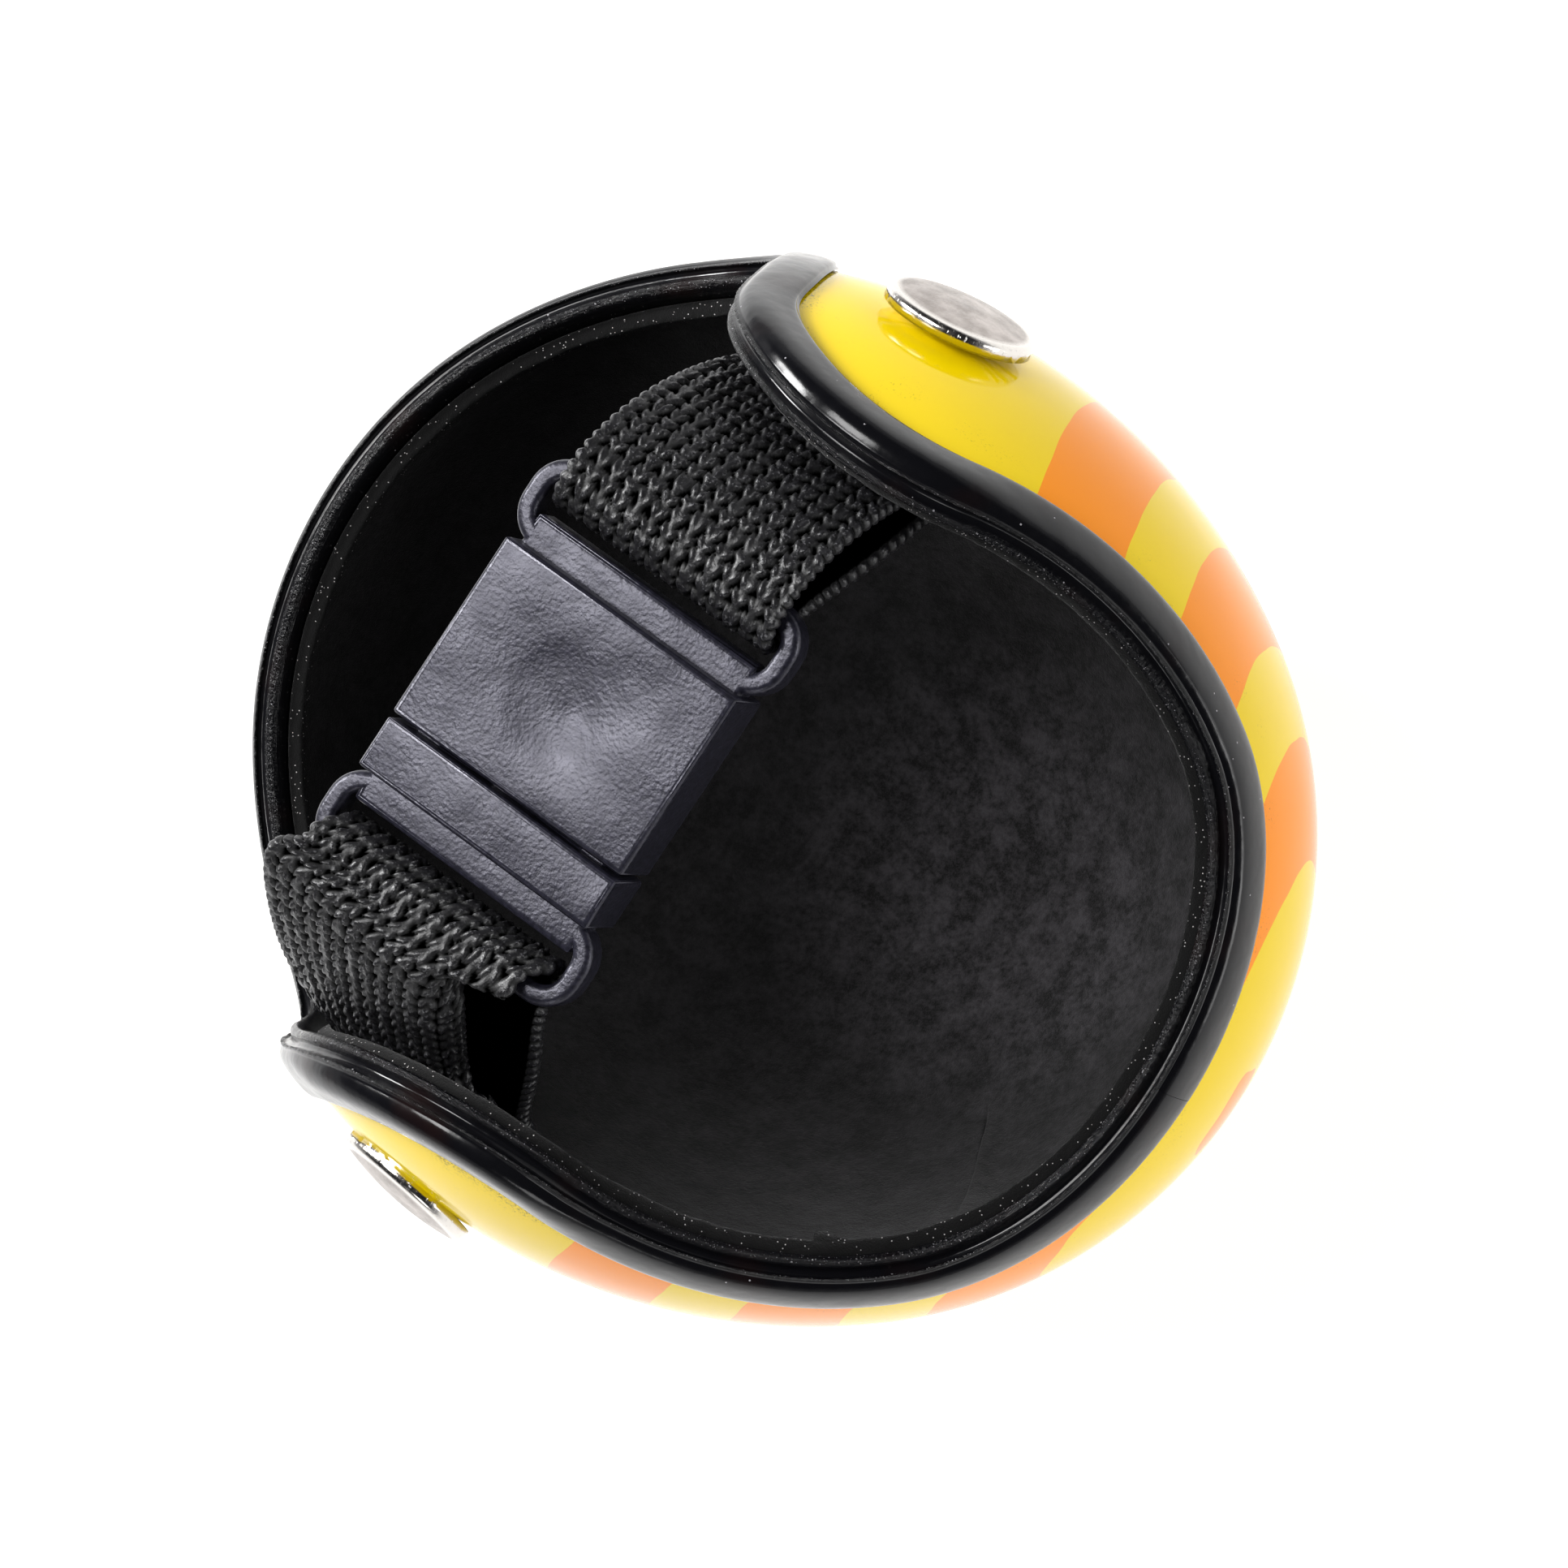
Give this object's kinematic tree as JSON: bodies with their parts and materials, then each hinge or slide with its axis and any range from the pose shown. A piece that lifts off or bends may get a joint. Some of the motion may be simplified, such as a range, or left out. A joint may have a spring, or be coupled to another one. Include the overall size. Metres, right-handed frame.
{
  "type": "miniature bird helmet",
  "caption": "Small round crash helmet for a pet bird, with a felt lining, a rubber-edged wavy rim, riveted elastic straps and a side-release buckle.",
  "frame": {"origin": "point of the crown that the helmet rests on, in the middle of the shell's length and width", "axes": "+Z out of the opening (the crown is down), +X from the brow to the nape, +Y to the left ear, where the buckle's socket is"},
  "size_m": [0.068, 0.0628, 0.0613],
  "materials": {
    "shell": "glossy moulded ABS, yellow with orange bands",
    "edging": "glossy extruded black vinyl edging",
    "felt": "short-napped dark felt",
    "rivet_cap": "nickel plate, brushed on top, bright at its rim",
    "rivet_base": "nickel plate",
    "elastic": "knitted black elastic",
    "buckle": "fine leather-grained dark grey polypropylene"
  },
  "bodies": {
    "helmet": {"shell": "shell", "rim_edging": "edging", "felt_liner": "felt", "rivet_cap_left": "rivet_cap", "rivet_cap_right": "rivet_cap", "rivet_base_left": "rivet_base", "rivet_base_right": "rivet_base"},
    "chin_strap": {"strap_left": "elastic", "strap_right": "elastic"},
    "socket": {"buckle_socket": "buckle"},
    "plug": {"buckle_plug": "buckle"}
  },
  "joints": [
    {"name": "strap_swing", "type": "hinge", "parent": "helmet", "child": "chin_strap", "pos_m": [-0.0006, 0, 0.0424], "axis": [0.0343, 0.9994, 0], "range_deg": [-15, 15]},
    {"name": "socket_slide", "type": "slide", "parent": "chin_strap", "child": "socket", "axis": [0.0523, 0.9986, 0], "range_m": [0, 0.0046], "deforming": ["strap_left"]},
    {"name": "plug_slide", "type": "slide", "parent": "chin_strap", "child": "plug", "axis": [-0.0523, -0.9986, 0], "range_m": [0, 0.0046], "deforming": ["strap_right"]}
  ],
  "couplings": [
    {"joint": "plug_slide", "follows": "socket_slide", "ratio": 1}
  ]
}
